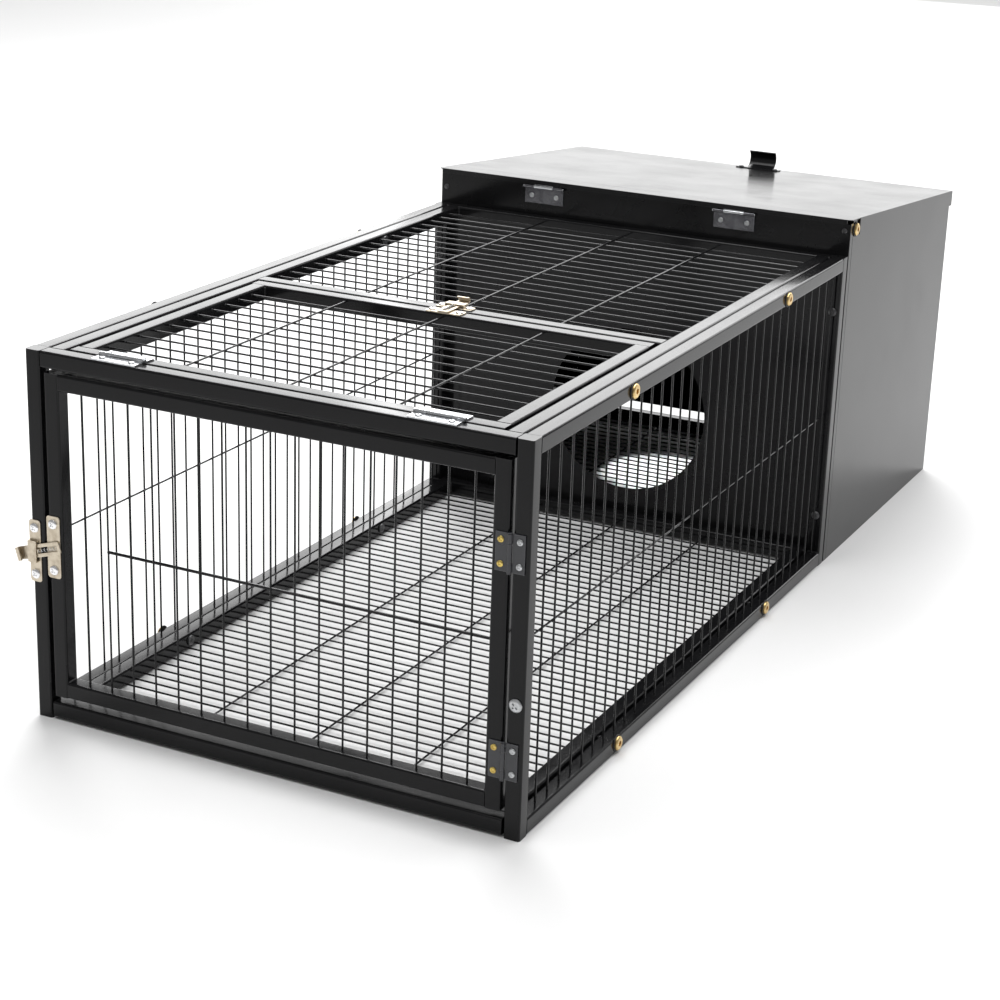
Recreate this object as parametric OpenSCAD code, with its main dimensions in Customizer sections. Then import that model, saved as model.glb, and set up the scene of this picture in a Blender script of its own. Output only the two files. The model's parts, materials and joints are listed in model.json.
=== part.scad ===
// Small-animal enclosure: a mesh run with a front door and a top hatch, and behind it a
// sheet-metal sleeping house with a round doorway and a sloping lid that swings forward.
// X runs to the right, Y from the front door to the house, Z up. The origin is on the ground,
// in the middle of the plan.

/* [Overall] */
// Length over the run and the house
length = 1220; // [1190:5:1250]
// Width over the side panels
width = 520; // [510:2:530]
// Height of the mesh run
run_height = 368; // [360:1:374]
// Height of the lid at its front edge
house_height = 410; // [408:1:420]
// Height of the lid at its rear edge
lid_rear_height = 375; // [368:1:380]
// Length of the house, from its front frame to the rear edge of the lid
house_depth = 403; // [395:1:415]

/* [Frame tube] */
// Outside size of the square tube
tube = 16; // [15:0.5:17]
// Wall of the tube
tube_wall = 1; // [0.8:0.1:1.2]
// Corner radius of the tube
tube_corner = 2; // [1.5:0.25:2.5]

/* [Wire mesh] */
// Diameter of the mesh wire
wire = 2; // [1.8:0.1:2.4]
// Aimed spacing of the upright wires in the side panels
side_pitch = 24.6; // [22:0.2:28]
// Height of the side panels' level wire
side_rod_height = 183; // [150:5:220]
// Aimed spacing of the wires across the roof and the hatch
roof_pitch = 22.8; // [20:0.2:28]
// Aimed spacing of the wires across the floors
floor_pitch = 15.4; // [13:0.2:18]
// Distance between the three long wires of the roof and the floors
long_wire_spacing = 111; // [100:1:120]

/* [Front door] */
// Width of the door
door_width = 480; // [470:1:482]
// Height of the door
door_height = 323; // [310:1:323]
// Height of the door's lower edge
door_bottom = 25; // [23:1:28]
// Spacing of the door's upright wires
door_pitch = 25.4; // [22:0.2:26]
// Diameter of the door's level rod
door_rod = 3; // [2.5:0.25:3.5]
// Height of the door's level rod
door_rod_z = 181; // [150:1:220]

/* [Top hatch] */
// Width of the hatch
hatch_width = 446; // [440:1:448]
// Length of the hatch
hatch_length = 322.5; // [300:0.5:323]

/* [House] */
// Thickness of the sheet steel
sheet = 1; // [0.8:0.1:1.2]
// Depth of the folded front wall
front_wall_depth = 9.5; // [9:0.25:10]
// Radius of the round doorway
doorway_radius = 100; // [90:1:105]
// Height of the doorway's centre
doorway_height = 145; // [135:1:155]
// Height of the slot under the rear wall
rear_slot = 12; // [8:1:16]
// Depth of the lid's side and rear skirts
lid_skirt = 19; // [14:1:22]

/* [Latches] */
// Tilt of the door's bolt
door_bolt_tilt = 17; // [0:1:17]
// Width of the flat bolts
bolt_width = 13; // [11:0.5:13]
// Travel of the bolts
bolt_travel = 17.5; // [17:0.5:17.5]

/* [Hidden] */
$fn = 32;

half_tube = tube / 2;
weld = 0.5;                                   // how far a wire or rail runs into a tube's wall
wall_y = length - house_depth - front_wall_depth + 0.5; // front face of the house wall
run_length = wall_y - 1;                      // length of the side and top panels
side_x = width / 2 - half_tube;               // centre of a side panel
roof_half = width / 2 - tube - 1;             // half width of the top panel
floor_half = width / 2 - tube - 2;            // half width of the run's floor
floor_z = 2;                                  // underside of the run's floor frame
floor_length = run_length - 4;
crossbar_y = 351.5;                           // centre of the bar behind the hatch
hatch_front = tube + 2;                       // front edge of the hatch
hatch_rear = hatch_front + hatch_length;
roof_wire_z = run_height - 5;                 // wires across the roof
lap = 0.8;                                    // crossed wires sink into each other by this part

// House
house_y = wall_y + front_wall_depth + 0.7;    // front of the corner posts
house_rear = length - 3;                      // rear face of the house
post_x = width / 2 - sheet - 0.2 - half_tube;
post_front_y = house_y + half_tube;
post_rear_y = house_rear - sheet - 0.2 - half_tube;
lid_front = wall_y - 5;                       // front edge of the lid
lid_slope = (house_height - lid_rear_height) / (length - lid_front);
lid_half = width / 2 + 2;
front_screw_x = 253;
front_screw_z = [387, 396];                   // left screw, right screw
rear_screw_z = [60, 340];
function lid_top(y) = house_height - lid_slope * (y - lid_front);
function wall_top(y) = lid_top(y) - sheet - 0.6;

// Hinges: the pin stands in front of the face that the leaves are screwed to
leaf_thick = 1.5;
knuckle_r = 2.2;
pin_r = 1.2;
pin_fit = 0.05;                               // radial clearance of the pin
pin_rise = 2.3;
knuckle_gap = 0.4;
door_hinge_len = 35;
door_leaf = 14;
door_hinge_x = 242;
door_hinge_heights = [75, 267];
door_leaf_screw = 9;                          // from the pin to the screws
door_screw_step = 11;                         // from the hinge's middle to the screws
hatch_hinge_len = 48;
hatch_leaf = 15;
hatch_hinge_y = hatch_front - 1;
hatch_hinge_xs = [-163, 163];
hatch_leaf_screw = 9;
hatch_screw_step = 16;
lid_hinge_len = 50;
lid_hinge_xs = [-121, 121];
lid_hinge_y = lid_front + 1.75;
lid_hinge_z = house_height - 8.5;
lid_part = lid_hinge_len / 4;
lid_end_knuckles = [[-lid_hinge_len / 2, lid_part], [lid_hinge_len / 2 - lid_part, lid_part]];
lid_mid_knuckle = [[-lid_hinge_len / 2 + lid_part, lid_hinge_len - 2 * lid_part]];
wall_leaf_height = 20;
wall_screw_drop = 11;
wall_screw_step = 16;

// Lid handle: a foot on the lid and a hollow curve
handle_width = 36;
handle_flange = 58;
handle_base = 12;
handle_thick = 1.2;
handle_radius = 12;
handle_rivet_x = 23.5;
handle_at = [4, 1206.5];

// Latches
latch_plate = 1.2;
latch_width = 13;
strike_width = 15;
door_latch_len = 62;
hatch_latch_len = 40;
door_latch_screw_y = 23;                      // from the plate's middle to its screws
hatch_latch_screw_y = 15.2;
door_latch_at = [-255.5, 171];
hatch_latch_at = [0, 353.5];
door_strike_at = [-234, 178.5];
hatch_strike_at = [0, hatch_rear - half_tube];
bolt_thick = 1.5;
bolt_lift = latch_plate + 0.3;
bolt_tail = 16.5;
bolt_roll = 3.2;                              // radius of the finger grip at the bolt's tail
door_bolt_reach = 31;
hatch_bolt_reach = 29.5;
slot_start = 3.5;
slot_width = 5.6;
slot_land = 3.7;                              // metal left between the slot and the bolt's tip
stop_tab = 1.2;
spring_d = 3.4;
spring_wire = 0.5;
spring_turns = 6;

// Screws: head diameter, head height, shank diameter, length
small_screw = [6, 1.3, 3.2, 7];
latch_screw = [9.6, 2.2, 3.8, 8];
hatch_latch_screw = [7.4, 1.8, 3.8, 8];
post_screw_size = [12.5, 2.4, 4.8, 9];
post_screw_z = 129;
wall_screw = [6.4, 1.6, 3.6, 12.5];
hole_play = 0.4;                              // screw holes are this much wider than the screws

// Connector bolts: brass sleeve nut outside, bolt from inside
nut_head = [14, 2.6];
nut_barrel = [8, 12];
washer = [17, 0.9];
bolt_d = 6;
connector_heads = [10.5, 1.8];
top_connectors = [205, 610];
floor_wires = floor((floor_length - 2 * tube) / floor_pitch);
floor_step = (floor_length - 2 * tube) / floor_wires;
function between_floor_wires(y) = tube + floor_step * (round((y - tube) / floor_step - 0.5) + 0.5);
floor_connectors = [between_floor_wires(210), between_floor_wires(615)];
floor_connector_z = 10.5;
roof_connector_z = run_height - half_tube;
house_connector = [post_front_y - 1, 396];
joining_heights = [62, 306];
joining_screw = [9.5, 2.4, 5, tube + 6.4];
joining_nut = [9.2, 3.6];                     // across its corners, height

module placed() translate([0, -length / 2, 0]) children();

// Tube, wire and fastener shapes

function round_corner(cx, cy, r, start) =
    [for (i = [0:4]) let (a = start + i * 22.5) [cx + r * cos(a), cy + r * sin(a)]];

function round_square(size, r) = let (h = size / 2 - r) concat(
    round_corner(h, h, r, 0), round_corner(-h, h, r, 90),
    round_corner(-h, -h, r, 180), round_corner(h, -h, r, 270));

// Closed square tube standing on z = 0
module tube_z(len) {
    difference() {
        linear_extrude(len) polygon(round_square(tube, tube_corner));
        translate([0, 0, tube_wall])
            linear_extrude(len - 2 * tube_wall)
                polygon(round_square(tube - 2 * tube_wall, tube_corner - tube_wall));
    }
}

module tube_x(x0, x1) translate([x0, 0, 0]) rotate([0, 90, 0]) tube_z(x1 - x0);

module tube_y(y0, y1) translate([0, y1, 0]) rotate([90, 0, 0]) tube_z(y1 - y0);

module wire_x(x0, x1, d = wire)
    translate([x0, 0, 0]) rotate([0, 90, 0]) cylinder(h = x1 - x0, d = d, $fn = 16);

module wire_y(y0, y1, d = wire)
    translate([0, y1, 0]) rotate([90, 0, 0]) cylinder(h = y1 - y0, d = d, $fn = 16);

module wire_z(z0, z1, d = wire) translate([0, 0, z0]) cylinder(h = z1 - z0, d = d, $fn = 16);

// Rectangular tube frame with its sides along X and Y, open space from [x0, y0] to [x1, y1]
module flat_frame(x0, x1, y0, y1, z) {
    for (x = [x0 + half_tube, x1 - half_tube])
        translate([x, 0, z]) tube_y(y0 + tube - weld, y1 - tube + weld);
    for (y = [y0 + half_tube, y1 - half_tube])
        translate([0, y, z]) tube_x(x0, x1);
}

// Mesh of wires across X with three long wires along Y, welded into tubes at its edges
module flat_mesh(half, y0, y1, pitch, z, long_side) {
    count = floor((y1 - y0) / pitch);
    step = (y1 - y0) / count;
    for (i = [1:count - 1])
        translate([0, y0 + i * step, z]) wire_x(-half - weld, half + weld);
    for (x = [-long_wire_spacing, 0, long_wire_spacing])
        translate([x, 0, z + long_side * wire * lap]) wire_y(y0 - weld, y1 + weld);
}

// Put children on a face: their +Z points out of it
module on_front(x, z, y = 0) translate([x, y, z]) rotate([90, 0, 0]) children();

module on_top(x, y, z = run_height) translate([x, y, z]) children();

module on_side(side, y, z) translate([side * width / 2, y, z]) rotate([0, side * 90, 0]) children();

// Cross-head screw, head above z = 0
module cross_screw(s) {
    cap = s[0] / 2;
    difference() {
        union() {
            rotate_extrude($fn = 32)
                polygon([[0, 0], [cap, 0], [cap, s[1] * 0.45], [cap * 0.8, s[1] * 0.85],
                         [cap * 0.45, s[1]], [0, s[1]]]);
            translate([0, 0, -s[3]]) cylinder(h = s[3] + 0.2, d = s[2], $fn = 24);
        }
        for (a = [45, 135])
            translate([0, 0, s[1]]) rotate(a) cube([s[0] * 0.55, s[0] * 0.13, s[1]], center = true);
    }
}

// Hole for a screw, from above the face down to its depth
module screw_hole(s, depth = 3)
    translate([0, 0, -depth]) cylinder(h = depth + 3, d = s[2] + hole_play, $fn = 24);

// Hinge shapes: pin along X, fixed leaf towards -Y, swinging leaf towards +Y

module hinge_pin(len) {
    translate([-len / 2 - 0.6, 0, pin_rise]) rotate([0, 90, 0]) cylinder(h = len + 1.2, r = pin_r);
    for (side = [-1, 1])
        translate([side * (len / 2 + 0.7), 0, pin_rise])
            rotate([0, 90, 0]) cylinder(h = 0.8, r = knuckle_r - 0.3, center = true);
}

// One leaf. The fixed leaf has the two end knuckles, the swinging leaf the middle one.
module hinge_leaf(len, leaf, side, screw_y, screw_x) {
    part = len / 4;
    own = side < 0 ? [[-len / 2, part], [len / 2 - part, part]] : [[-len / 2 + part, len - 2 * part]];
    difference() {
        union() {
            translate([-len / 2, side > 0 ? knuckle_r + knuckle_gap : -leaf, 0])
                cube([len, leaf - knuckle_r - knuckle_gap, leaf_thick]);
            for (k = own) {
                translate([k[0] + knuckle_gap / 2, side > 0 ? 0.2 : -knuckle_r - knuckle_gap - 0.1, 0])
                    cube([k[1] - knuckle_gap, knuckle_r + knuckle_gap - 0.1, leaf_thick]);
                translate([k[0] + knuckle_gap / 2, 0, pin_rise])
                    rotate([0, 90, 0]) cylinder(h = k[1] - knuckle_gap, r = knuckle_r);
            }
        }
        translate([-len, 0, pin_rise]) rotate([0, 90, 0]) cylinder(h = 2 * len, r = pin_r + pin_fit);
        for (x = [-screw_x, screw_x])
            translate([x, side * screw_y, 0]) screw_hole(small_screw);
    }
}

module leaf_screws(side, screw_y, screw_x) {
    for (x = [-screw_x, screw_x])
        translate([x, side * screw_y, leaf_thick]) cross_screw(small_screw);
}

// Where the hinges stand
module at_door_hinges()
    for (z = door_hinge_heights) translate([door_hinge_x, 0, z]) rotate([90, -90, 0]) children();

module at_hatch_hinges() for (x = hatch_hinge_xs) on_top(x, hatch_hinge_y) children();

// Latch shapes: the bolt moves along X, the strike is towards +X, screws along Y

module round_plate(size_x, size_y, r, h) {
    linear_extrude(h) {
        square([size_x - 2 * r, size_y], center = true);
        square([size_x, size_y - 2 * r], center = true);
        for (x = [-1, 1], y = [-1, 1])
            translate([x * (size_x / 2 - r), y * (size_y / 2 - r)]) circle(r, $fn = 24);
    }
}

// Fixed plate with the bridge that guides the bolt, and the tab that stops its spring
module latch_base(len, screw_y, tilt) {
    bridge_x0 = -latch_width / 2;
    bridge_x1 = slot_start - 0.3;
    span = bolt_width / 2 + 3.1;
    height = bolt_lift + bolt_thick + 0.4;
    difference() {
        union() {
            round_plate(latch_width, len, 3, latch_plate);
            difference() {
                translate([bridge_x0, -span - latch_plate, latch_plate / 2])
                    cube([bridge_x1 - bridge_x0, 2 * (span + latch_plate), height + latch_plate / 2]);
                translate([bridge_x0 - 1, -span, 0])
                    cube([latch_width, 2 * span, height]);
            }
            rotate(tilt) translate([slot_start + 0.6, -2, latch_plate / 2]) cube([stop_tab, 4, 3.4]);
        }
        for (y = [-screw_y, screw_y]) translate([0, y, 0]) screw_hole(latch_screw);
    }
}

module strike_plate(len, screw_y) {
    difference() {
        round_plate(strike_width, len, 3, latch_plate);
        for (y = [-screw_y, screw_y]) translate([0, y, 0]) screw_hole(latch_screw);
    }
}

module latch_screws(screw_y, s) {
    for (y = [-screw_y, screw_y]) translate([0, y, latch_plate]) cross_screw(s);
}

// Flat bolt with a slot for its spring and a rolled finger grip at its tail
module flat_bolt(reach) {
    translate([0, 0, bolt_lift]) {
        difference() {
            union() {
                translate([(reach - 4 - bolt_tail) / 2, 0, bolt_thick / 2])
                    cube([reach - 4 + bolt_tail, bolt_width, bolt_thick], center = true);
                translate([reach / 2, 0, 0]) round_plate(reach, bolt_width, 3.5, bolt_thick);
            }
            translate([(slot_start + reach - slot_land) / 2, 0, bolt_thick / 2])
                cube([reach - slot_land - slot_start, slot_width, 3 * bolt_thick], center = true);
        }
        translate([-bolt_tail, bolt_width / 2, bolt_roll])
            rotate([90, 0, 0]) rotate(90)
                rotate_extrude(angle = 180, $fn = 48)
                    translate([bolt_roll - bolt_thick, 0]) square([bolt_thick, bolt_width]);
        translate([1.15 - bolt_tail, 0, 2 * bolt_roll - bolt_thick / 2])
            cube([2.5, bolt_width, bolt_thick], center = true);
    }
}

// Compression spring in the bolt's slot, one swept wire
function spring_ring(t, r, wire_r, step, x0) = let (a = 360 * t)
    [for (i = [0:7]) let (b = 45 * i, d = r + wire_r * cos(b))
        [x0 + step * t + wire_r * sin(b), d * cos(a), d * sin(a)]];

module bolt_spring(reach) {
    x0 = slot_start + 0.6 + stop_tab + 0.1 + spring_wire / 2;
    x1 = reach - slot_land - 0.1 - spring_wire / 2;
    rings = spring_turns * 14;
    coil_r = (spring_d - spring_wire) / 2;
    step = (x1 - x0) / spring_turns;
    points = [for (k = [0:rings]) each spring_ring(k / 14, coil_r, spring_wire / 2, step, x0)];
    faces = concat(
        [[for (i = [0:7]) i]],
        [for (k = [0:rings - 1], i = [0:7])
            [k * 8 + i, (k + 1) * 8 + i, (k + 1) * 8 + (i + 1) % 8, k * 8 + (i + 1) % 8]],
        [[for (i = [0:7]) rings * 8 + 7 - i]]);
    translate([0, 0, latch_plate + 0.1 + spring_d / 2]) polyhedron(points, faces);
}

module at_door_latch() on_front(door_latch_at[0], door_latch_at[1]) children();

module at_door_strike() on_front(door_strike_at[0], door_strike_at[1]) children();

module at_hatch_latch() on_top(hatch_latch_at[0], hatch_latch_at[1]) rotate(-90) children();

module at_hatch_strike() on_top(hatch_strike_at[0], hatch_strike_at[1]) rotate(-90) children();

// Connectors

// Every connector, outside face of the frame at z = 0, its bolt towards -Z; grip is the depth to its head
module at_connectors() {
    for (side = [-1, 1]) {
        for (y = top_connectors) on_side(side, y, roof_connector_z) children();
        for (y = floor_connectors) on_side(side, y, floor_connector_z) children();
        on_side(side, house_connector[0], house_connector[1]) children();
    }
}

module at_joints(y) for (side = [-1, 1], z = joining_heights) on_front(side * side_x, z, y) children();

module at_front_screws(y) {
    on_front(-front_screw_x, front_screw_z[0], y) children();
    on_front(front_screw_x, front_screw_z[1], y) children();
}

module at_rear_screws() for (side = [-1, 1], z = rear_screw_z)
    translate([side * post_x, house_rear, z]) rotate([-90, 0, 0]) children();

module connector_drill(from, to, d) translate([0, 0, -to]) cylinder(h = to - from, d = d, $fn = 32);

// Panels

module side_panel(side) {
    count = floor((run_length - 2 * tube) / side_pitch);
    step = (run_length - 2 * tube) / (count + 0.5);
    placed() difference() {
        translate([side * side_x, 0, 0]) {
            for (y = [half_tube, run_length - half_tube]) translate([0, y, 0]) tube_z(run_height);
            for (z = [half_tube, run_height - half_tube])
                translate([0, 0, z]) tube_y(tube - weld, run_length - tube + weld);
            for (i = [0:count])
                translate([0, tube + step * (i + 0.25), 0]) wire_z(tube - weld, run_height - tube + weld);
            translate([-side * wire * lap, 0, side_rod_height])
                wire_y(tube - weld, run_length - tube + weld);
        }
        for (y = top_connectors) on_side(side, y, roof_connector_z) side_drill();
        for (y = floor_connectors) on_side(side, y, floor_connector_z) side_drill();
        at_joints(run_length - tube) screw_hole(joining_screw, tube + 3);
        if (side > 0) {
            at_door_hinges() for (x = [-1, 1])
                translate([x * door_screw_step, -door_leaf_screw, 0]) screw_hole(small_screw);
            on_front(side_x, post_screw_z) screw_hole(post_screw_size);
        }
        if (side < 0)
            at_door_latch() for (y = [-1, 1])
                translate([0, y * door_latch_screw_y, 0]) screw_hole(latch_screw);
    }
}

module side_drill() {
    connector_drill(-1, nut_barrel[1] + 1, nut_barrel[0] + hole_play);
    connector_drill(nut_barrel[1], tube + 3, bolt_d + hole_play);
}

module left_side_panel() color("#141416") side_panel(-1);

module right_side_panel() color("#141416") side_panel(1);

module top_panel() color("#161618") placed() difference() {
    union() {
        flat_frame(-roof_half, roof_half, 0, run_length, run_height - half_tube);
        translate([0, crossbar_y, run_height - half_tube])
            tube_x(-roof_half + tube - weld, roof_half - tube + weld);
        flat_mesh(roof_half - tube, crossbar_y + half_tube, run_length - tube, roof_pitch, roof_wire_z, 1);
    }
    for (side = [-1, 1], y = top_connectors)
        on_side(side, y, roof_connector_z) connector_drill(tube, 2 * tube + 4, bolt_d + hole_play);
    at_hatch_hinges() for (x = [-1, 1])
        translate([x * hatch_screw_step, -hatch_leaf_screw, 0]) screw_hole(small_screw);
    at_hatch_latch() for (y = [-1, 1])
        translate([0, y * hatch_latch_screw_y, 0]) screw_hole(hatch_latch_screw);
}

module run_floor() color("#161618") placed() difference() {
    union() {
        flat_frame(-floor_half, floor_half, 0, floor_length, floor_z + half_tube);
        flat_mesh(floor_half - tube, tube, floor_length - tube, floor_pitch, floor_z + 3, -1);
    }
    for (side = [-1, 1], y = floor_connectors)
        on_side(side, y, floor_connector_z) connector_drill(tube, 2 * tube + 5, bolt_d + hole_play);
}

module door_panel() color("#131315") placed() {
    x = door_width / 2;
    z0 = door_bottom;
    z1 = door_bottom + door_height;
    wires = floor((door_width - 2 * tube) / 2 / door_pitch);
    difference() {
        union() {
            for (sx = [-1, 1]) translate([sx * (x - half_tube), half_tube, z0]) tube_z(door_height);
            for (z = [z0 + half_tube, z1 - half_tube])
                translate([0, half_tube, z]) tube_x(-x + tube - weld, x - tube + weld);
            for (i = [-wires:wires])
                translate([i * door_pitch, half_tube, 0]) wire_z(z0 + tube - weld, z1 - tube + weld);
            translate([0, half_tube + (wire + door_rod) / 2 * lap, door_rod_z])
                wire_x((1 - wires) * door_pitch - 2, x - tube + weld, door_rod);
        }
        at_door_hinges() for (sx = [-1, 1])
            translate([sx * door_screw_step, door_leaf_screw, 0]) screw_hole(small_screw);
        at_door_strike() for (y = [-1, 1])
            translate([0, y * door_latch_screw_y, 0]) screw_hole(latch_screw);
    }
}

module hatch_panel() color("#161618") placed() difference() {
    union() {
        flat_frame(-hatch_width / 2, hatch_width / 2, hatch_front, hatch_rear, run_height - half_tube);
        flat_mesh(hatch_width / 2 - tube, hatch_front + tube, hatch_rear - tube, roof_pitch, roof_wire_z, 1);
    }
    at_hatch_hinges() for (x = [-1, 1])
        translate([x * hatch_screw_step, hatch_leaf_screw, 0]) screw_hole(small_screw);
    at_hatch_strike() for (y = [-1, 1])
        translate([0, y * hatch_latch_screw_y, 0]) screw_hole(hatch_latch_screw);
}

// House

module house_frame() color("#17171a") placed() difference() {
    front_top = 403;
    rear_top = wall_top(post_rear_y) - 3;
    inner_x = post_x - half_tube;
    inner_y0 = post_front_y + half_tube;
    inner_y1 = post_rear_y - half_tube;
    union() {
        for (side = [-1, 1]) {
            translate([side * post_x, post_front_y, 0]) tube_z(front_top);
            translate([side * post_x, post_rear_y, 0]) tube_z(rear_top);
            translate([side * post_x, 0, half_tube]) tube_y(inner_y0 - weld, inner_y1 + weld);
        }
        for (y = [post_front_y, post_rear_y])
            translate([0, y, half_tube]) tube_x(-inner_x - weld, inner_x + weld);
        flat_mesh(inner_x, inner_y0, inner_y1, floor_pitch, 5, -1);
    }
    for (side = [-1, 1])
        on_side(side, house_connector[0], house_connector[1]) side_drill();
    at_front_screws(house_y) screw_hole(wall_screw);
    at_rear_screws() screw_hole(small_screw, 5);
}

// Folded pan: face, side and top returns, and lips that lie against the corner posts
module house_front_wall() color("#111113") placed() {
    x = width / 2;
    top = house_height - 6;
    lip = 16;
    back = wall_y + front_wall_depth;
    difference() {
        union() {
            translate([-x, wall_y, 0]) cube([2 * x, sheet, top]);
            for (side = [-1, 1]) {
                translate([side > 0 ? x - sheet : -x, wall_y, 0]) cube([sheet, front_wall_depth, top]);
                translate([side > 0 ? x - lip : -x, back - sheet, 0]) cube([lip, sheet, top]);
            }
            for (z = [0, top - sheet]) translate([-x, wall_y, z]) cube([2 * x, front_wall_depth, sheet]);
        }
        on_front(0, doorway_height, wall_y)
            cylinder(h = 3 * sheet, r = doorway_radius, center = true, $fn = 96);
        for (x = lid_hinge_xs, dx = [-wall_screw_step, wall_screw_step])
            on_front(x + dx, lid_hinge_z - wall_screw_drop, wall_y) screw_hole(small_screw);
        at_front_screws(wall_y) screw_hole(wall_screw, front_wall_depth + 2);
        at_joints(wall_y) screw_hole(joining_screw);
    }
}

// Side sheet with a folded top flange that follows the lid
module house_side_wall(side) {
    y0 = wall_y + front_wall_depth + 0.5;
    y1 = house_rear;
    flange = 10;
    difference() {
        union() {
            translate([side > 0 ? width / 2 - sheet : -width / 2, 0, 0]) rotate([90, 0, 90])
                linear_extrude(sheet) polygon([[y0, 0], [y1, 0], [y1, wall_top(y1)], [y0, wall_top(y0)]]);
            translate([side > 0 ? width / 2 - flange : -width / 2, 0, 0]) rotate([90, 0, 90])
                linear_extrude(flange)
                    polygon([[y0, wall_top(y0) - sheet], [y1, wall_top(y1) - sheet],
                             [y1, wall_top(y1)], [y0, wall_top(y0)]]);
        }
        on_side(side, house_connector[0], house_connector[1])
            connector_drill(-1, 3, nut_barrel[0] + hole_play);
    }
}

module house_left_wall() color("#151517") placed() house_side_wall(-1);

module house_right_wall() color("#151517") placed() house_side_wall(1);

module house_rear_wall() color("#151517") placed() {
    x = width / 2 - sheet - 0.3;
    z0 = tube + rear_slot;
    z1 = wall_top(house_rear) - sheet - 0.2;
    flange = 8;
    difference() {
        union() {
            translate([-x, house_rear - sheet, z0]) cube([2 * x, sheet, z1 - z0]);
            translate([-x + tube + 2, house_rear - flange, z0]) cube([2 * (x - tube - 2), flange, sheet]);
            translate([-x + tube + 2, house_rear - flange, z1 - 2 - sheet])
                cube([2 * (x - tube - 2), flange, sheet]);
        }
        at_rear_screws() screw_hole(small_screw, 5);
    }
}

// Lid

// The lid's sheet seen from the side: short front skirt, sloping top, rear skirt
module lid_profile(front_drop, rear_drop) {
    polygon([[lid_front, lid_top(lid_front) - front_drop], [lid_front, lid_top(lid_front)],
             [length, lid_top(length)], [length, lid_top(length) - rear_drop],
             [length - sheet, lid_top(length) - rear_drop], [length - sheet, lid_top(length - sheet) - sheet],
             [lid_front + sheet, lid_top(lid_front + sheet) - sheet],
             [lid_front + sheet, lid_top(lid_front) - front_drop]]);
}

module lid_shell() color("#1a1a1c") placed() {
    skirt_start = house_connector[0] + 11;
    difference() {
        union() {
            translate([-lid_half, 0, 0]) rotate([90, 0, 90])
                linear_extrude(2 * lid_half) lid_profile(5.6, lid_skirt);
            for (side = [-1, 1])
                translate([side > 0 ? lid_half - sheet : -lid_half, 0, 0]) rotate([90, 0, 90])
                    linear_extrude(sheet)
                        polygon([[skirt_start, lid_top(skirt_start)], [length, lid_top(length)],
                                 [length, lid_top(length) - lid_skirt],
                                 [skirt_start, lid_top(skirt_start) - lid_skirt]]);
        }
        at_lid_handle() for (x = [-1, 1])
            translate([x * handle_rivet_x, -handle_base / 2, -3]) cylinder(h = 6, d = 4.2, $fn = 24);
    }
}

// Rear of the lid, on its sloping top face
module at_lid_handle()
    translate([handle_at[0], handle_at[1], lid_top(handle_at[1])])
        rotate([-atan(lid_slope), 0, 0]) children();

// Bent strip: a foot on the lid, then a hollow curve that the fingers hook into
module lid_handle() color("#17171a") placed() at_lid_handle() {
    r1 = handle_radius;
    r0 = handle_radius - handle_thick;
    difference() {
        translate([-handle_flange / 2, -handle_base, 0.02]) cube([handle_flange, handle_base, handle_thick]);
        for (x = [-1, 1])
            translate([x * handle_rivet_x, -handle_base / 2, -3]) cylinder(h = 6, d = 4.2, $fn = 24);
    }
    translate([-handle_width / 2, -0.5, handle_radius + 0.02])
        rotate([90, 0, 90]) linear_extrude(handle_width) polygon(concat(
            [for (i = [0:14]) let (a = -90 + i * 10.5) [r1 * cos(a), r1 * sin(a)]],
            [for (i = [14:-1:0]) let (a = -90 + i * 10.5) [r0 * cos(a), r0 * sin(a)]]));
}

module lid_handle_rivets() color("#202022") placed() at_lid_handle() {
    for (x = [-1, 1]) translate([x * handle_rivet_x, -handle_base / 2, handle_thick + 0.02]) {
        rotate_extrude($fn = 32) polygon([[0, 0], [3.4, 0], [3.1, 0.8], [1.8, 1.5], [0, 1.7]]);
        translate([0, 0, -3.4]) cylinder(h = 3.6, d = 4, $fn = 24);
    }
}

// Lid hinges

module lid_knuckles(own) {
    for (k = own)
        translate([k[0] + knuckle_gap / 2, lid_hinge_y, lid_hinge_z])
            rotate([0, 90, 0]) cylinder(h = k[1] - knuckle_gap, r = knuckle_r);
}

module lid_pin_bore() translate([-lid_hinge_len, lid_hinge_y, lid_hinge_z])
    rotate([0, 90, 0]) cylinder(h = 2 * lid_hinge_len, r = pin_r + pin_fit);

module wall_hinge_leaves() color("#b9bcc0") placed() for (x = lid_hinge_xs) translate([x, 0, 0])
    difference() {
        union() {
            translate([-lid_hinge_len / 2, wall_y - leaf_thick, lid_hinge_z - wall_leaf_height])
                cube([lid_hinge_len, leaf_thick, wall_leaf_height - knuckle_r - knuckle_gap]);
            for (k = lid_end_knuckles)
                translate([k[0] + knuckle_gap / 2, wall_y - leaf_thick, lid_hinge_z - knuckle_r - 1])
                    cube([k[1] - knuckle_gap, leaf_thick, knuckle_r + 1.8]);
            lid_knuckles(lid_end_knuckles);
        }
        lid_pin_bore();
        for (dx = [-wall_screw_step, wall_screw_step])
            on_front(dx, lid_hinge_z - wall_screw_drop, wall_y) screw_hole(small_screw);
    }

module lid_hinge_leaves() color("#b9bcc0") placed() for (x = lid_hinge_xs) translate([x, 0, 0])
    difference() {
        plate_y = lid_front + sheet + 0.05;
        union() {
            translate([-lid_hinge_len / 2, plate_y, lid_hinge_z + knuckle_r + knuckle_gap])
                cube([lid_hinge_len, leaf_thick, 4.4]);
            for (k = lid_mid_knuckle)
                translate([k[0] + knuckle_gap / 2, plate_y, lid_hinge_z])
                    cube([k[1] - knuckle_gap, leaf_thick, knuckle_r + 1]);
            lid_knuckles(lid_mid_knuckle);
        }
        lid_pin_bore();
    }

module lid_hinge_pins() color("#c8cacd") placed() for (x = lid_hinge_xs)
    translate([x, lid_hinge_y, lid_hinge_z - pin_rise]) hinge_pin(lid_hinge_len);

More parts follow.
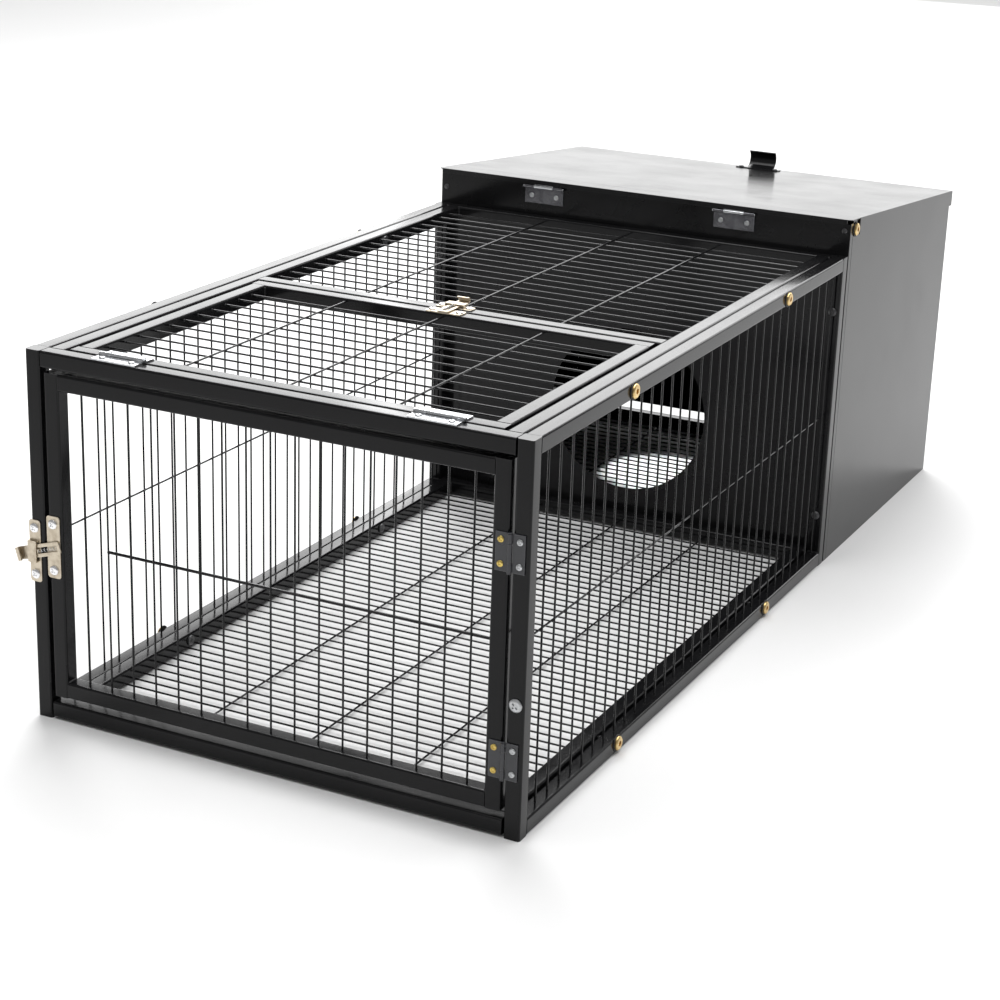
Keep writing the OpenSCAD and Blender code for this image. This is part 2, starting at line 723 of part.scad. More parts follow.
module wall_leaf_screws() color("#c4c6c8") placed()
    for (x = lid_hinge_xs, dx = [-wall_screw_step, wall_screw_step])
        on_front(x + dx, lid_hinge_z - wall_screw_drop, wall_y - leaf_thick) cross_screw(small_screw);

// Door and hatch hardware

module post_hinge_leaves() color("#1b1c1f") placed()
    at_door_hinges() hinge_leaf(door_hinge_len, door_leaf, -1, door_leaf_screw, door_screw_step);

module door_hinge_leaves() color("#1b1c1f") placed()
    at_door_hinges() hinge_leaf(door_hinge_len, door_leaf, 1, door_leaf_screw, door_screw_step);

module door_hinge_pins() color("#1b1c1f") placed() at_door_hinges() hinge_pin(door_hinge_len);

module post_leaf_screws() color("#c4c6c8") placed()
    at_door_hinges() leaf_screws(-1, door_leaf_screw, door_screw_step);

module door_leaf_screws() color("#c9b15a") placed()
    at_door_hinges() leaf_screws(1, door_leaf_screw, door_screw_step);

module roof_hinge_leaves() color("#b9bcc0") placed()
    at_hatch_hinges() hinge_leaf(hatch_hinge_len, hatch_leaf, -1, hatch_leaf_screw, hatch_screw_step);

module hatch_hinge_leaves() color("#b9bcc0") placed()
    at_hatch_hinges() hinge_leaf(hatch_hinge_len, hatch_leaf, 1, hatch_leaf_screw, hatch_screw_step);

module hatch_hinge_pins() color("#c8cacd") placed() at_hatch_hinges() hinge_pin(hatch_hinge_len);

module roof_leaf_screws() color("#c4c6c8") placed()
    at_hatch_hinges() leaf_screws(-1, hatch_leaf_screw, hatch_screw_step);

module hatch_leaf_screws() color("#c4c6c8") placed()
    at_hatch_hinges() leaf_screws(1, hatch_leaf_screw, hatch_screw_step);

module door_latch_base() color("#b7b09f") placed()
    at_door_latch() latch_base(door_latch_len, door_latch_screw_y, door_bolt_tilt);

module hatch_latch_base() color("#b7b09f") placed()
    at_hatch_latch() latch_base(hatch_latch_len, hatch_latch_screw_y, 0);

module door_strike() color("#b7b09f") placed()
    at_door_strike() strike_plate(door_latch_len, door_latch_screw_y);

module hatch_strike() color("#b7b09f") placed()
    at_hatch_strike() strike_plate(hatch_latch_len, hatch_latch_screw_y);

module door_bolt() color("#bdb6a4") placed()
    at_door_latch() rotate(door_bolt_tilt) flat_bolt(door_bolt_reach);

module hatch_bolt() color("#bdb6a4") placed() at_hatch_latch() flat_bolt(hatch_bolt_reach);

module door_bolt_spring() color("#d0d2d4") placed()
    at_door_latch() rotate(door_bolt_tilt) bolt_spring(door_bolt_reach);

module hatch_bolt_spring() color("#d0d2d4") placed() at_hatch_latch() bolt_spring(hatch_bolt_reach);

module door_latch_screws() color("#d3d4d6") placed()
    at_door_latch() latch_screws(door_latch_screw_y, latch_screw);

module door_strike_screws() color("#d3d4d6") placed()
    at_door_strike() latch_screws(door_latch_screw_y, latch_screw);

module hatch_latch_screws() color("#d3d4d6") placed()
    at_hatch_latch() latch_screws(hatch_latch_screw_y, hatch_latch_screw);

module hatch_strike_screws() color("#d3d4d6") placed()
    at_hatch_strike() latch_screws(hatch_latch_screw_y, hatch_latch_screw);

// Fasteners of the frame

// Brass sleeve nut: round head with a hex socket, barrel into the frame, thread for the bolt
module connector_nuts() color("#b08a4a") placed() at_connectors() difference() {
    union() {
        translate([0, 0, washer[1]])
            rotate_extrude($fn = 48)
                polygon([[0, 0], [nut_head[0] / 2, 0], [nut_head[0] / 2, nut_head[1] * 0.6],
                         [nut_head[0] / 2 - 1.2, nut_head[1]], [0, nut_head[1]]]);
        translate([0, 0, -nut_barrel[1]]) cylinder(h = nut_barrel[1] + washer[1] + 0.5, d = nut_barrel[0]);
    }
    translate([0, 0, washer[1] + nut_head[1] - 2.2]) cylinder(h = 4, d = 5.8, $fn = 6);
    translate([0, 0, -nut_barrel[1] - 1]) cylinder(h = nut_barrel[1] - 1, d = bolt_d + 0.1);
}

module connector_washers() color("#101012") placed() at_connectors() difference() {
    cylinder(h = washer[1] - 0.02, d = washer[0], $fn = 48);
    translate([0, 0, -1]) cylinder(h = 4, d = nut_barrel[0] + hole_play);
}

// Bolt from inside: through the inner rail, or through the corner post
module connector_bolt(depth) {
    translate([0, 0, -depth]) cylinder(h = depth - 4, d = bolt_d, $fn = 32);
    translate([0, 0, -depth - connector_heads[1]]) difference() {
        cylinder(h = connector_heads[1] + 0.01, d = connector_heads[0]);
        for (a = [0, 90]) rotate(a) cube([5, 1.2, 2], center = true);
    }
}

module connector_bolts() color("#2a2b2d") placed() for (side = [-1, 1]) {
    for (y = top_connectors) on_side(side, y, roof_connector_z) connector_bolt(2 * tube + 1.02);
    for (y = floor_connectors) on_side(side, y, floor_connector_z) connector_bolt(2 * tube + 2.02);
    on_side(side, house_connector[0], house_connector[1]) connector_bolt(tube + sheet + 0.22);
}

// Bolts from the rear stiles through the house's front wall, with nuts behind the sheet
module joining_bolts() color("#2a2b2d") placed() at_joints(run_length - tube) cross_screw(joining_screw);

module joining_nuts() color("#2a2b2d") placed() at_joints(wall_y + sheet + 0.02)
    translate([0, 0, -joining_nut[1]]) difference() {
        cylinder(h = joining_nut[1], d = joining_nut[0], $fn = 6);
        translate([0, 0, -1]) cylinder(h = 6, d = joining_screw[2] + 0.1);
    }

module post_screw() color("#cfd1d2") placed() on_front(side_x, post_screw_z) cross_screw(post_screw_size);

module front_wall_screws() color("#3a3b3d") placed() at_front_screws(wall_y) cross_screw(wall_screw);

module rear_wall_screws() color("#2a2b2d") placed() at_rear_screws() cross_screw(small_screw);

left_side_panel();
right_side_panel();
top_panel();
run_floor();
house_frame();
house_front_wall();
house_left_wall();
house_right_wall();
house_rear_wall();
connector_nuts();
connector_washers();
connector_bolts();
joining_bolts();
joining_nuts();
post_screw();
front_wall_screws();
rear_wall_screws();
door_panel();
door_hinge_leaves();
door_leaf_screws();
door_strike();
door_strike_screws();
post_hinge_leaves();
post_leaf_screws();
door_hinge_pins();
door_latch_base();
door_latch_screws();
door_bolt();
door_bolt_spring();
hatch_panel();
hatch_hinge_leaves();
hatch_leaf_screws();
hatch_strike();
hatch_strike_screws();
roof_hinge_leaves();
roof_leaf_screws();
hatch_hinge_pins();
hatch_latch_base();
hatch_latch_screws();
hatch_bolt();
hatch_bolt_spring();
lid_shell();
lid_hinge_leaves();
lid_handle();
lid_handle_rivets();
wall_hinge_leaves();
wall_leaf_screws();
lid_hinge_pins();
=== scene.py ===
# Small-animal run with a sleeping house: its looks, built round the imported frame.
import json
import math

import bmesh
import bpy
from mathutils import Matrix, Vector


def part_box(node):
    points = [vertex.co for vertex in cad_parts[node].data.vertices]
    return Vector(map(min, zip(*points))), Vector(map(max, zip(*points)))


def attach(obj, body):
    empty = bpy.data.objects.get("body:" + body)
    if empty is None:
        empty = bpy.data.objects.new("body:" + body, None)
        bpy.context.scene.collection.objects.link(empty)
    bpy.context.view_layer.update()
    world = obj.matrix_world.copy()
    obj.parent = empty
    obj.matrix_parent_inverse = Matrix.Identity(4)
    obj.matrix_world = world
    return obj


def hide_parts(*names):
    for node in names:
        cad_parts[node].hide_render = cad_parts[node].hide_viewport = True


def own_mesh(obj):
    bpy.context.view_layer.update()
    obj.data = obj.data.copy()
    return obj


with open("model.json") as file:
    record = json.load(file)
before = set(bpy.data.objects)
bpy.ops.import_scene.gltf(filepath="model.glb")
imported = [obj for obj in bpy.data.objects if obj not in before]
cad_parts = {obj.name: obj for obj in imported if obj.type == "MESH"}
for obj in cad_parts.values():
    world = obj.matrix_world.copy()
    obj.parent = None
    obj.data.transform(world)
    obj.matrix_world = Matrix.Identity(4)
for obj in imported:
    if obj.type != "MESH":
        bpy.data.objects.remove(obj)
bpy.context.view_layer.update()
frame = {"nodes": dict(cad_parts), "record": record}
mm = 0.001


# Surface effects shared by the finishes

paintEffect = {
    "peelDetail": 2.0,
    "cloudScale": 14.0, "cloudDetail": 4.0, "cloudRange": (0.3, 0.7),
    "speckScale": 900.0, "speckDetail": 1.0, "speckRange": (0.6, 0.72),
    "driftScale": 30.0, "driftDetail": 3.0, "driftRange": (0.4, 0.75),
    "facingUp": (0.5, 1.0),  # how far up a face looks where dust begins, and where it is full
    "edgeRadius": 1.2 * mm, "edgeRange": (0.02, 0.3), "bevelSamples": 4,
    "dustColour": (0.34, 0.33, 0.31), "dustRoughness": 2,
    "bumpDepth": 0.04 * mm,
}
plateEffect = {
    "grainDetail": 3.0, "grainRoughness": 0.6,
    "tarnishScale": 160.0, "tarnishDetail": 5.0, "tarnishRange": (0.42, 0.7),
    "scratchScale": 1500.0, "scratchDetail": 1.0, "scratchRange": (0.68, 0.74),
    "scratchTurn": (0.5, 0.9, 0.7), "scratchStretch": (1.0, 0.04, 1.0),
    "tarnishRoughness": 0.1,
    "bumpDepth": 0.05 * mm,
}


def newGroup(name, inputs, outputs):
    group = bpy.data.node_groups.new(name, "ShaderNodeTree")
    for label, kind in inputs:
        group.interface.new_socket(label, in_out="INPUT", socket_type=kind)
    for label, kind in outputs:
        group.interface.new_socket(label, in_out="OUTPUT", socket_type=kind)
    start = group.nodes.new("NodeGroupInput")
    end = group.nodes.new("NodeGroupOutput")
    return group, start, end


def addNode(tree, kind, **values):
    node = tree.nodes.new(kind)
    for key, value in values.items():
        setattr(node, key, value)
    return node


def mathNode(tree, operation, *values, clamp=False):
    node = addNode(tree, "ShaderNodeMath", operation=operation, use_clamp=clamp)
    for socket, value in zip(node.inputs, values):
        if isinstance(value, (int, float)):
            socket.default_value = value
        else:
            tree.links.new(value, socket)
    return node.outputs[0]


def noiseNode(tree, vector, scale, detail, roughness=0.5):
    node = addNode(tree, "ShaderNodeTexNoise")
    node.inputs["Detail"].default_value = detail
    node.inputs["Roughness"].default_value = roughness
    if isinstance(scale, (int, float)):
        node.inputs["Scale"].default_value = scale
    else:
        tree.links.new(scale, node.inputs["Scale"])
    tree.links.new(vector, node.inputs["Vector"])
    return node.outputs["Fac"]


def stretch(tree, value, limits):
    # Spreads what lies between the two limits over 0 to 1
    node = addNode(tree, "ShaderNodeMapRange", clamp=True)
    node.inputs["From Min"].default_value, node.inputs["From Max"].default_value = limits
    tree.links.new(value, node.inputs["Value"])
    return node.outputs["Result"]


def makePaintGroup():
    # Powder coat: orange peel, slow clouds of gloss, settled dust and thinner paint on edges
    group, start, end = newGroup(
        "powderCoat",
        [("Peel Scale", "NodeSocketFloat"), ("Edge Radius", "NodeSocketFloat")],
        [("Peel", "NodeSocketFloat"), ("Clouds", "NodeSocketFloat"),
         ("Dust", "NodeSocketFloat"), ("Edge", "NodeSocketFloat")])
    values = paintEffect
    place = addNode(group, "ShaderNodeTexCoord").outputs["Object"]
    peel = noiseNode(group, place, start.outputs["Peel Scale"], values["peelDetail"])
    clouds = noiseNode(group, place, values["cloudScale"], values["cloudDetail"])
    specks = noiseNode(group, place, values["speckScale"], values["speckDetail"])
    drift = noiseNode(group, place, values["driftScale"], values["driftDetail"])
    specks = stretch(group, specks, values["speckRange"])
    drift = stretch(group, drift, values["driftRange"])
    shape = addNode(group, "ShaderNodeNewGeometry")
    upward = addNode(group, "ShaderNodeSeparateXYZ")
    group.links.new(shape.outputs["Normal"], upward.inputs[0])
    facing = stretch(group, upward.outputs["Z"], values["facingUp"])
    dust = mathNode(group, "MULTIPLY", mathNode(group, "MULTIPLY", specks, drift), facing)
    rounded = addNode(group, "ShaderNodeBevel", samples=values["bevelSamples"])
    group.links.new(start.outputs["Edge Radius"], rounded.inputs["Radius"])
    compare = addNode(group, "ShaderNodeVectorMath", operation="DOT_PRODUCT")
    group.links.new(rounded.outputs["Normal"], compare.inputs[0])
    group.links.new(shape.outputs["Normal"], compare.inputs[1])
    edge = mathNode(group, "SUBTRACT", 1.0, compare.outputs["Value"])
    results = {
        "Peel": peel, "Clouds": stretch(group, clouds, values["cloudRange"]),
        "Dust": dust, "Edge": stretch(group, edge, values["edgeRange"]),
    }
    for label, value in results.items():
        group.links.new(value, end.inputs[label])
    return group


def makePlateGroup():
    # Plated metal: fine drawing lines along one way, blotches of tarnish and small scratches
    group, start, end = newGroup(
        "platedMetal",
        [("Grain Scale", "NodeSocketFloat"), ("Grain Stretch", "NodeSocketVector")],
        [("Grain", "NodeSocketFloat"), ("Tarnish", "NodeSocketFloat"), ("Scratches", "NodeSocketFloat")])
    values = plateEffect
    place = addNode(group, "ShaderNodeTexCoord").outputs["Object"]
    drawn = addNode(group, "ShaderNodeVectorMath", operation="MULTIPLY")
    group.links.new(place, drawn.inputs[0])
    group.links.new(start.outputs["Grain Stretch"], drawn.inputs[1])
    grain = noiseNode(group, drawn.outputs["Vector"], start.outputs["Grain Scale"],
                      values["grainDetail"], values["grainRoughness"])
    tarnish = noiseNode(group, place, values["tarnishScale"], values["tarnishDetail"],
                        values["grainRoughness"])
    turned = addNode(group, "ShaderNodeMapping")
    turned.inputs["Rotation"].default_value = values["scratchTurn"]
    turned.inputs["Scale"].default_value = values["scratchStretch"]
    group.links.new(place, turned.inputs["Vector"])
    scratches = noiseNode(group, turned.outputs["Vector"], values["scratchScale"],
                          values["scratchDetail"])
    results = {
        "Grain": grain, "Tarnish": stretch(group, tarnish, values["tarnishRange"]),
        "Scratches": stretch(group, scratches, values["scratchRange"]),
    }
    for label, value in results.items():
        group.links.new(value, end.inputs[label])
    return group


paintGroup = makePaintGroup()
plateGroup = makePlateGroup()


def mixColour(tree, factor, first, second):
    # Sockets 6 and 7 and output 2 are the ones that a mix node has for colours
    node = addNode(tree, "ShaderNodeMix", data_type="RGBA")
    tree.links.new(factor, node.inputs[0])
    for socket, value in ((node.inputs[6], first), (node.inputs[7], second)):
        if isinstance(value, tuple):
            socket.default_value = (*value, 1.0)
        else:
            tree.links.new(value, socket)
    return node.outputs[2]


def startMaterial(name):
    material = bpy.data.materials.new(name)
    material.use_nodes = True
    tree = material.node_tree
    return material, tree, tree.nodes["Principled BSDF"]


def addBump(tree, shader, height, strength, distance):
    bump = addNode(tree, "ShaderNodeBump")
    bump.inputs["Strength"].default_value = strength
    bump.inputs["Distance"].default_value = distance
    tree.links.new(height, bump.inputs["Height"])
    tree.links.new(bump.outputs["Normal"], shader.inputs["Normal"])


def paintMaterial(name, look):
    material, tree, shader = startMaterial(name)
    effect = addNode(tree, "ShaderNodeGroup", node_tree=paintGroup)
    effect.inputs["Peel Scale"].default_value = look["peelScale"]
    effect.inputs["Edge Radius"].default_value = paintEffect["edgeRadius"]
    clouds, dust = effect.outputs["Clouds"], effect.outputs["Dust"]
    worn = mathNode(tree, "MULTIPLY", effect.outputs["Edge"], look["edgeWear"])
    dusty = mathNode(tree, "MULTIPLY", dust, look["dust"])
    colour = mixColour(tree, clouds, look["colour"], look["cloudColour"])
    colour = mixColour(tree, worn, colour, look["edgeColour"])
    colour = mixColour(tree, dusty, colour, paintEffect["dustColour"])
    tree.links.new(colour, shader.inputs["Base Color"])
    rough = mathNode(tree, "MULTIPLY_ADD", clouds, look["roughSpread"], look["roughness"])
    dustRough = mathNode(tree, "MULTIPLY", dust, look["dust"] * paintEffect["dustRoughness"])
    tree.links.new(mathNode(tree, "ADD", rough, dustRough, clamp=True), shader.inputs["Roughness"])
    shader.inputs["IOR"].default_value = look["ior"]
    addBump(tree, shader, effect.outputs["Peel"], look["peel"], paintEffect["bumpDepth"])
    return material


def metalMaterial(name, look):
    material, tree, shader = startMaterial(name)
    effect = addNode(tree, "ShaderNodeGroup", node_tree=plateGroup)
    effect.inputs["Grain Scale"].default_value = look["grainScale"]
    effect.inputs["Grain Stretch"].default_value = look["grainStretch"]
    grain, tarnish = effect.outputs["Grain"], effect.outputs["Tarnish"]
    scratched = mathNode(tree, "MULTIPLY", effect.outputs["Scratches"], look["scratches"])
    colour = mixColour(tree, tarnish, look["colour"], look["tarnish"])
    colour = mixColour(tree, scratched, colour, look["scratchColour"])
    tree.links.new(colour, shader.inputs["Base Color"])
    rough = mathNode(tree, "MULTIPLY_ADD", grain, look["roughSpread"], look["roughness"])
    tarnishRough = mathNode(tree, "MULTIPLY", tarnish, plateEffect["tarnishRoughness"])
    tree.links.new(mathNode(tree, "ADD", rough, tarnishRough, clamp=True), shader.inputs["Roughness"])
    shader.inputs["Metallic"].default_value = 1.0
    addBump(tree, shader, grain, look["bump"], plateEffect["bumpDepth"])
    return material


paintLooks = {
    "blackPaint": {
        "colour": (0.004, 0.004, 0.0045), "cloudColour": (0.007, 0.007, 0.0075),
        "edgeColour": (0.05, 0.05, 0.052), "edgeWear": 0.45, "dust": 0.10,
        "roughness": 0.10, "roughSpread": 0.07, "ior": 1.31, "peel": 0.35, "peelScale": 420.0},
    "sheetPaint": {
        "colour": (0.005, 0.005, 0.0055), "cloudColour": (0.008, 0.008, 0.0085),
        "edgeColour": (0.05, 0.05, 0.052), "edgeWear": 0.45, "dust": 0.08,
        "roughness": 0.13, "roughSpread": 0.08, "ior": 1.31, "peel": 0.45, "peelScale": 340.0},
    "hingeBlack": {
        "colour": (0.014, 0.015, 0.019), "cloudColour": (0.028, 0.029, 0.034),
        "edgeColour": (0.16, 0.16, 0.17), "edgeWear": 0.6, "dust": 0.10,
        "roughness": 0.24, "roughSpread": 0.12, "ior": 1.6, "peel": 0.3, "peelScale": 900.0},
    "screwBlack": {
        "colour": (0.02, 0.02, 0.022), "cloudColour": (0.035, 0.035, 0.038),
        "edgeColour": (0.22, 0.22, 0.22), "edgeWear": 0.6, "dust": 0.1,
        "roughness": 0.26, "roughSpread": 0.1, "ior": 1.6, "peel": 0.3, "peelScale": 1200.0},
    "washerRubber": {
        "colour": (0.010, 0.010, 0.010), "cloudColour": (0.018, 0.018, 0.018),
        "edgeColour": (0.03, 0.03, 0.03), "edgeWear": 0.5, "dust": 0.15,
        "roughness": 0.55, "roughSpread": 0.15, "ior": 1.5, "peel": 0.5, "peelScale": 1500.0},
}
drawnGrain = {"grainStretch": (1.0, 1.0, 0.08), "grainScale": 700.0}  # lines run up and down
evenGrain = {"grainStretch": (1.0, 1.0, 1.0), "grainScale": 1500.0}
brassGrain = {"grainStretch": (1.0, 1.0, 1.0), "grainScale": 1200.0}
metalLooks = {
    "hingeSilver": {
        "colour": (0.66, 0.67, 0.69), "tarnish": (0.52, 0.53, 0.54), "scratchColour": (0.8, 0.8, 0.8),
        "scratches": 0.5, "roughness": 0.09, "roughSpread": 0.1, "bump": 0.3, **drawnGrain},
    # Painted shade: the same silver metal as hingeSilver, darkened to stand for the black roof that these
    # leaves reflect
    "hingeSilverPaintedShade": {
        "colour": (0.16, 0.16, 0.17), "tarnish": (0.10, 0.10, 0.11), "scratchColour": (0.4, 0.4, 0.4),
        "scratches": 0.5, "roughness": 0.12, "roughSpread": 0.1, "bump": 0.3, **drawnGrain},
    "latchNickel": {
        "colour": (0.62, 0.55, 0.44), "tarnish": (0.48, 0.41, 0.31), "scratchColour": (0.75, 0.72, 0.66),
        "scratches": 0.5, "roughness": 0.26, "roughSpread": 0.16, "bump": 0.4, **drawnGrain},
    "screwBright": {
        "colour": (0.95, 0.95, 0.96), "tarnish": (0.80, 0.80, 0.81), "scratchColour": (0.97, 0.97, 0.97),
        "scratches": 0.4, "roughness": 0.08, "roughSpread": 0.08, "bump": 0.25, **evenGrain},
    "screwZinc": {
        "colour": (0.56, 0.57, 0.58), "tarnish": (0.40, 0.41, 0.41), "scratchColour": (0.8, 0.8, 0.8),
        "scratches": 0.4, "roughness": 0.22, "roughSpread": 0.14, "bump": 0.3, **evenGrain},
    "screwYellow": {
        "colour": (0.72, 0.55, 0.16), "tarnish": (0.50, 0.34, 0.10), "scratchColour": (0.85, 0.8, 0.6),
        "scratches": 0.4, "roughness": 0.2, "roughSpread": 0.14, "bump": 0.3, **evenGrain},
    "springSteel": {
        "colour": (0.74, 0.75, 0.76), "tarnish": (0.6, 0.6, 0.6), "scratchColour": (0.85, 0.85, 0.85),
        "scratches": 0.3, "roughness": 0.18, "roughSpread": 0.12, "bump": 0.25, **drawnGrain},
    "sleeveBrass": {
        "colour": (0.72, 0.53, 0.24), "tarnish": (0.52, 0.36, 0.15), "scratchColour": (0.85, 0.7, 0.4),
        "scratches": 0.5, "roughness": 0.2, "roughSpread": 0.16, "bump": 0.35, **brassGrain},
}
finishes = {name: paintMaterial(name, look) for name, look in paintLooks.items()}
finishes.update({name: metalMaterial(name, look) for name, look in metalLooks.items()})
print("finishes made:", len(finishes))


# Ways of making a piece

finishSet = {"sharpAbove": 35, "flatWeight": 100}  # degrees; how far large faces set the shading
joinSet = {"near": 0.002 * mm, "flatBelow": 0.6}  # the second is in degrees
tubeSet = {
    "size": 16 * mm,
    "corner": 2.2 * mm,  # rounding of its long edges
    "sink": 0.5 * mm,  # how far a tube or wire runs into what it is welded to
}
wireSet = {
    "diameter": 2 * mm, "sides": 10, "longSpacing": 111 * mm,
    "lap": 0.8,  # crossing wires' centres are this share of a diameter apart
    "nugget": 1.35 * mm, "nuggetFlat": 0.75, "nuggetWide": 1.15,
}
beadSet = {
    "radius": 1.3 * mm, "step": 1.6 * mm,
    "ripple": 0.12, "rippleTurn": 2.4,  # how much the ripples' sizes differ, and how fast
    "share": 0.75,  # its length as a share of the tube's width
}
aligned = 0.9  # least cosine between two ways that count as one


def bodyOf(node):
    return next(body for body, nodes in frame["record"]["behaviour"]["bodies"].items() if node in nodes)


def finishPiece(bm, name, node, finish):
    # The piece stands for a CAD node and rides on that node's body
    mesh = bpy.data.meshes.new(name)
    bm.normal_update()
    bm.to_mesh(mesh)
    bm.free()
    mesh.shade_smooth()
    mesh.set_sharp_from_angle(angle=math.radians(finishSet["sharpAbove"]))
    mesh.materials.append(finishes[finish])
    piece = bpy.data.objects.new(name, mesh)
    bpy.context.scene.collection.objects.link(piece)
    flatFaces = piece.modifiers.new("flatFaces", "WEIGHTED_NORMAL")
    flatFaces.weight = finishSet["flatWeight"]
    flatFaces.keep_sharp = True
    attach(piece, bodyOf(node))
    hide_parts(node)
    return piece


def roundEdges(bm, edges, width, segments):
    bmesh.ops.bevel(bm, geom=list(edges), offset=width, offset_type="OFFSET", segments=segments,
                    profile=0.5, affect="EDGES", material=-1, clamp_overlap=True)


def sharpEdges(bm, above):
    return [e for e in bm.edges if e.is_manifold and e.calc_face_angle(0) > math.radians(above)]


def joinedCopy(node):
    # The CAD solid with its triangles joined up
    bm = bmesh.new()
    bm.from_mesh(frame["nodes"][node].data)
    bmesh.ops.remove_doubles(bm, verts=bm.verts, dist=joinSet["near"])
    bmesh.ops.dissolve_limit(bm, angle_limit=math.radians(joinSet["flatBelow"]),
                             verts=bm.verts, edges=bm.edges)
    return bm


def turnTo(direction):
    return Vector(direction).to_track_quat("Z", "Y").to_matrix().to_4x4()


def addTube(bm, start, end):
    # Square tube with rounded long edges
    start, end = Vector(start), Vector(end)
    along = end - start
    place = Matrix.Translation((start + end) / 2) @ turnTo(along)
    shape = place @ Matrix.Diagonal((tubeSet["size"], tubeSet["size"], along.length, 1))
    corners = bmesh.ops.create_cube(bm, size=1, matrix=shape)["verts"]
    edges = {e for v in corners for e in v.link_edges}
    axis = along.normalized()

    def runsAlong(edge):
        a, b = (v.co for v in edge.verts)
        return abs((a - b).normalized().dot(axis)) > aligned

    roundEdges(bm, [e for e in edges if runsAlong(e)], tubeSet["corner"], segments=4)


def addWire(bm, start, end, diameter=wireSet["diameter"]):
    start, end = Vector(start), Vector(end)
    place = Matrix.Translation((start + end) / 2) @ turnTo(end - start)
    bmesh.ops.create_cone(bm, cap_ends=True, segments=wireSet["sides"], radius1=diameter / 2,
                          radius2=diameter / 2, depth=(end - start).length, matrix=place)


def addNugget(bm, at, axis="z", size=wireSet["nugget"]):
    # Weld lump, flattened along one axis, where a wire meets another or a tube
    flattened = [wireSet["nuggetFlat"] if way == axis else wireSet["nuggetWide"] for way in "xyz"]
    bmesh.ops.create_icosphere(bm, subdivisions=1, radius=size,
                               matrix=Matrix.Translation(at) @ Matrix.Diagonal((*flattened, 1)))


def addBead(bm, start, end):
    # Weld bead in an inner corner: a row of overlapping ripples
    start, end = Vector(start), Vector(end)
    count = max(2, round((end - start).length / beadSet["step"]))
    for i in range(count):
        at = start.lerp(end, (i + 0.5) / count)
        swell = 1 + beadSet["ripple"] * math.sin(i * beadSet["rippleTurn"])
        bmesh.ops.create_icosphere(bm, subdivisions=1, radius=beadSet["radius"] * swell,
                                   matrix=Matrix.Translation(at))


def addFlatFrame(bm, lo, hi, z):
    size, sink = tubeSet["size"], tubeSet["sink"]
    half = size / 2
    reach = half * beadSet["share"]
    for x in (lo.x + half, hi.x - half):
        addTube(bm, (x, lo.y + size - sink, z), (x, hi.y - size + sink, z))
    for y in (lo.y + half, hi.y - half):
        addTube(bm, (lo.x, y, z), (hi.x, y, z))
    for x in (lo.x + size, hi.x - size):
        for y in (lo.y + size, hi.y - size):
            addBead(bm, (x, y, z - reach), (x, y, z + reach))


def addFlatMesh(bm, halfWidth, front, rear, pitch, z, longSide):
    # Wires across, and three long wires above them (longSide 1) or below them (-1)
    size, sink = wireSet["diameter"], tubeSet["sink"]
    count = math.floor((rear - front) / pitch)
    step = (rear - front) / count
    longZ = z + longSide * size * wireSet["lap"]
    spacing = wireSet["longSpacing"]
    for i in range(1, count):
        y = front + i * step
        addWire(bm, (-halfWidth - sink, y, z), (halfWidth + sink, y, z))
        for x in (-spacing, 0, spacing):
            addNugget(bm, (x, y, (z + longZ) / 2))
        for x in (-halfWidth, halfWidth):
            addNugget(bm, (x, y, z), "x")
    for x in (-spacing, 0, spacing):
        addWire(bm, (x, front - sink, longZ), (x, rear + sink, longZ))


# Run: side panels, top, floor, door and hatch

sideSet = {
    "pitch": 24.6 * mm, "rodHeight": 183 * mm,
    "endGap": 0.25,  # from a post to the nearest wire, as a share of the wires' spacing
}


def makeSidePanel(node, side):
    lo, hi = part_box(node)
    size, sink, wire = tubeSet["size"], tubeSet["sink"], wireSet["diameter"]
    half = size / 2
    reach = half * beadSet["share"]
    x = side * (max(abs(lo.x), abs(hi.x)) - half)
    bm = bmesh.new()
    for y in (lo.y + half, hi.y - half):
        addTube(bm, (x, y, lo.z), (x, y, hi.z))
    for z in (lo.z + half, hi.z - half):
        addTube(bm, (x, lo.y + size - sink, z), (x, hi.y - size + sink, z))
    for y in (lo.y + size, hi.y - size):
        for z in (lo.z + size, hi.z - size):
            addBead(bm, (x - reach, y, z), (x + reach, y, z))
    room = hi.y - lo.y - 2 * size
    count = math.floor(room / sideSet["pitch"])
    step = room / (count + 2 * sideSet["endGap"])
    rodX = x - side * wire * wireSet["lap"]
    rodZ = sideSet["rodHeight"]
    for i in range(count + 1):
        y = lo.y + size + step * (i + sideSet["endGap"])
        addWire(bm, (x, y, lo.z + size - sink), (x, y, hi.z - size + sink))
        addNugget(bm, ((x + rodX) / 2, y, rodZ), "x")
        for z in (lo.z + size, hi.z - size):
            addNugget(bm, (x, y, z))
    addWire(bm, (rodX, lo.y + size - sink, rodZ), (rodX, hi.y - size + sink, rodZ))
    return finishPiece(bm, node + "_welded", node, "blackPaint")


roofSet = {
    "pitch": 22.8 * mm,
    "wireDrop": 5 * mm,  # from the top down to the wires across
    "crossbar": 351.5 * mm,  # from the front to the middle of the crossbar
    "barBead": 0.37,  # half the length of the crossbar's beads, as a share of its width
}


def makeTopPanel():
    lo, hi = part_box("top_panel")
    size, sink = tubeSet["size"], tubeSet["sink"]
    reach = size * roofSet["barBead"]
    z = hi.z - size / 2
    barY = lo.y + roofSet["crossbar"]
    bm = bmesh.new()
    addFlatFrame(bm, lo, hi, z)
    addTube(bm, (lo.x + size - sink, barY, z), (hi.x - size + sink, barY, z))
    for x in (lo.x + size, hi.x - size):
        for y in (barY - size / 2, barY + size / 2):
            addBead(bm, (x, y, z - reach), (x, y, z + reach))
    wireZ = hi.z - roofSet["wireDrop"]
    addFlatMesh(bm, hi.x - size, barY + size / 2, hi.y - size, roofSet["pitch"], wireZ, 1)
    return finishPiece(bm, "top_panel_welded", "top_panel", "blackPaint")


